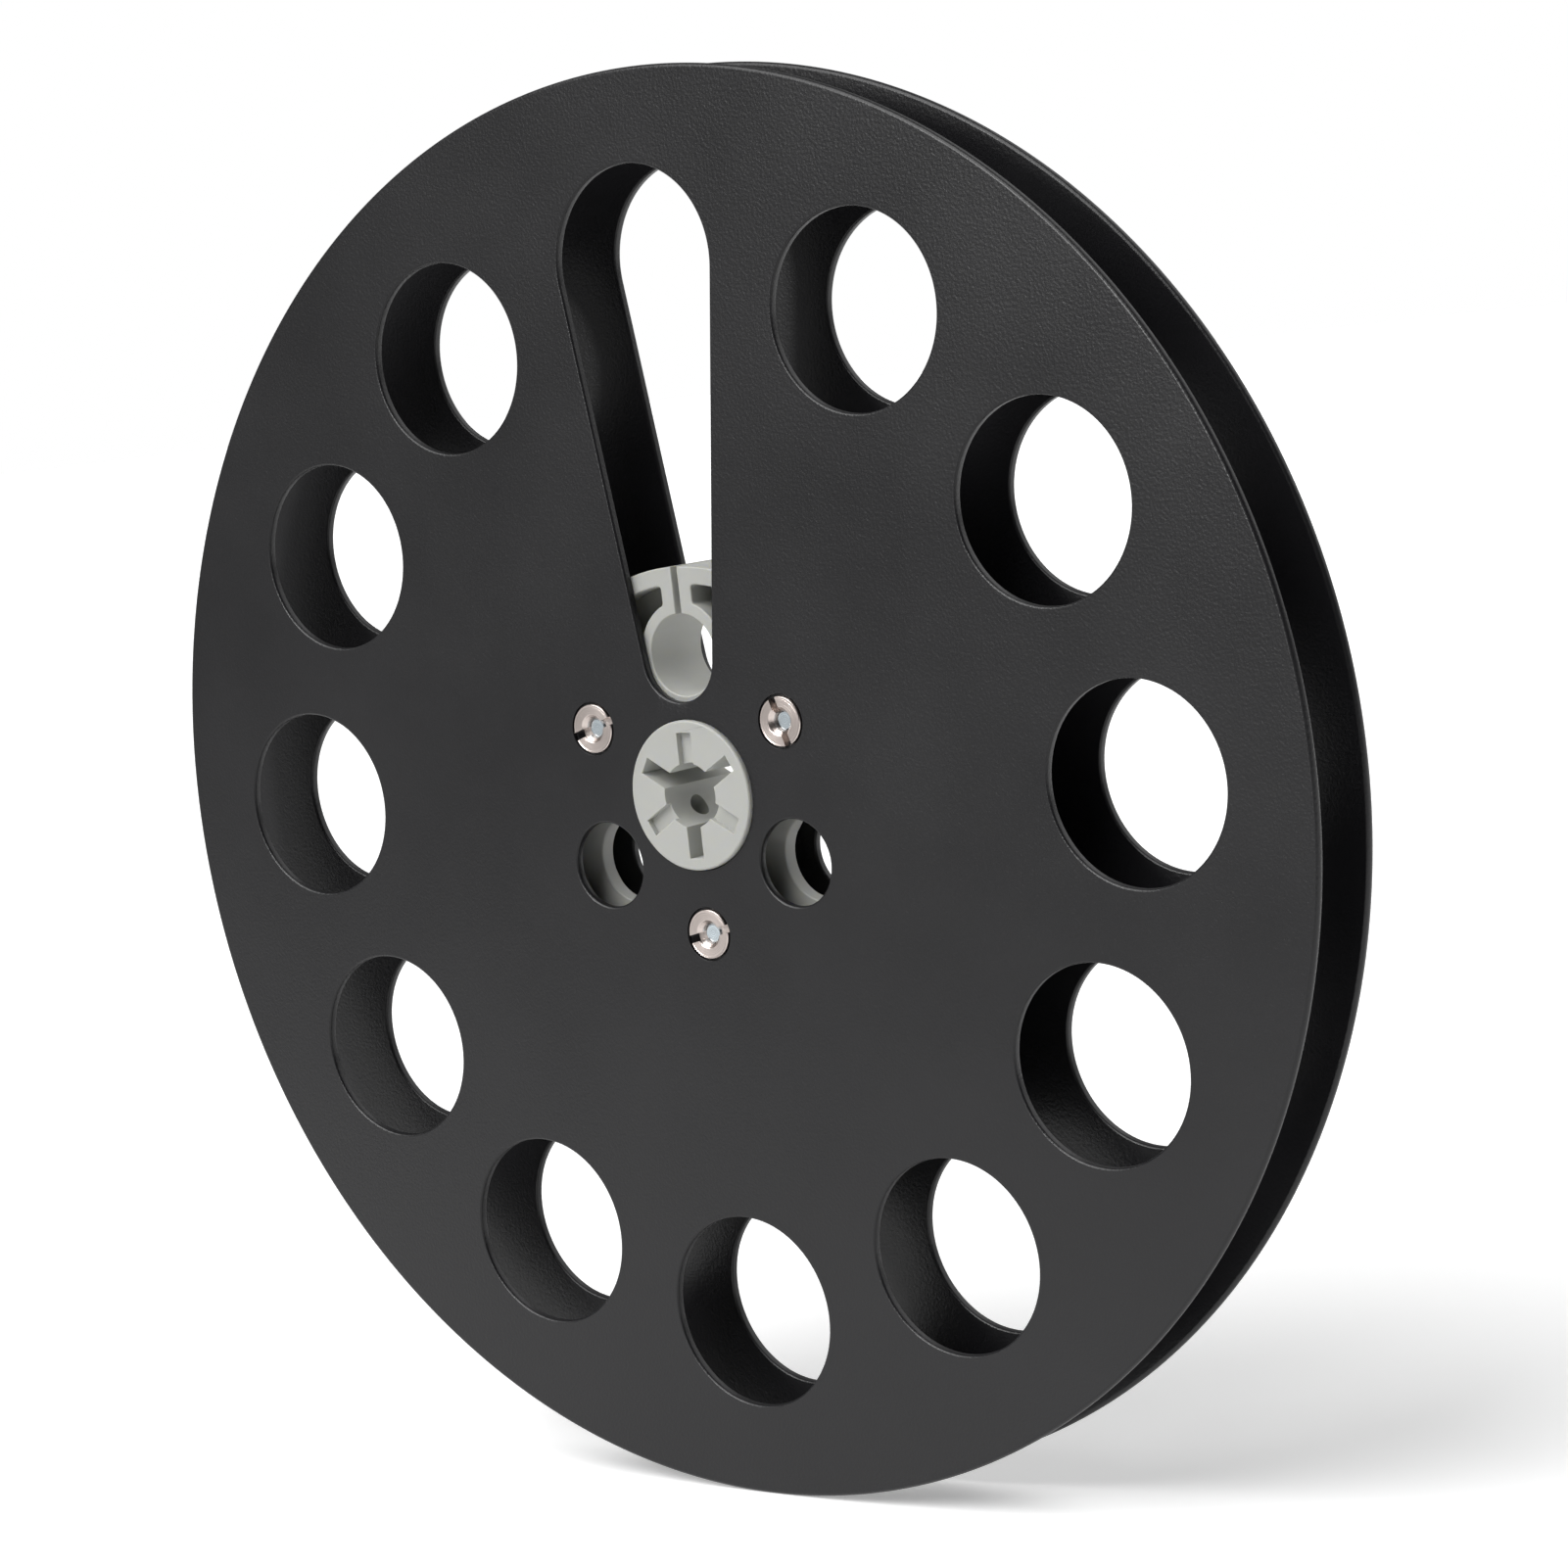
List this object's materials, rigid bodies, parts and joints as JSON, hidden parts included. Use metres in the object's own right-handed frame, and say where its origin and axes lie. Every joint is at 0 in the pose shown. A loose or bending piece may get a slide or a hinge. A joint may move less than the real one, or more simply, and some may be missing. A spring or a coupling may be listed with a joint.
{
  "type": "audio tape reel",
  "caption": "Small metal tape reel: thin black flanges with a ring of round windows and a keyhole, clamped by slotted sleeve nuts to a pale moulded hub with a slotted spindle bore.",
  "frame": {"origin": "middle of the spindle bore, halfway between the flanges", "axes": "+Y along the spin axis towards the rear flange, so the front looks along -Y; +Z towards the keyhole; +X to the right seen from the front"},
  "size_m": [0.178, 0.0132, 0.178],
  "materials": {
    "black_anodised": "matte black anodised, fine grain",
    "hub_plastic": "moulded, satin",
    "nickel_nut": "turned and nickel plated",
    "zinc_screw": "bright zinc plated"
  },
  "bodies": {
    "root": {"front_flange": "black_anodised", "rear_flange": "black_anodised", "hub": "hub_plastic", "sleeve_nut_1": "nickel_nut", "sleeve_nut_2": "nickel_nut", "sleeve_nut_3": "nickel_nut", "clamp_screw_1": "zinc_screw", "clamp_screw_2": "zinc_screw", "clamp_screw_3": "zinc_screw"}
  },
  "joints": []
}
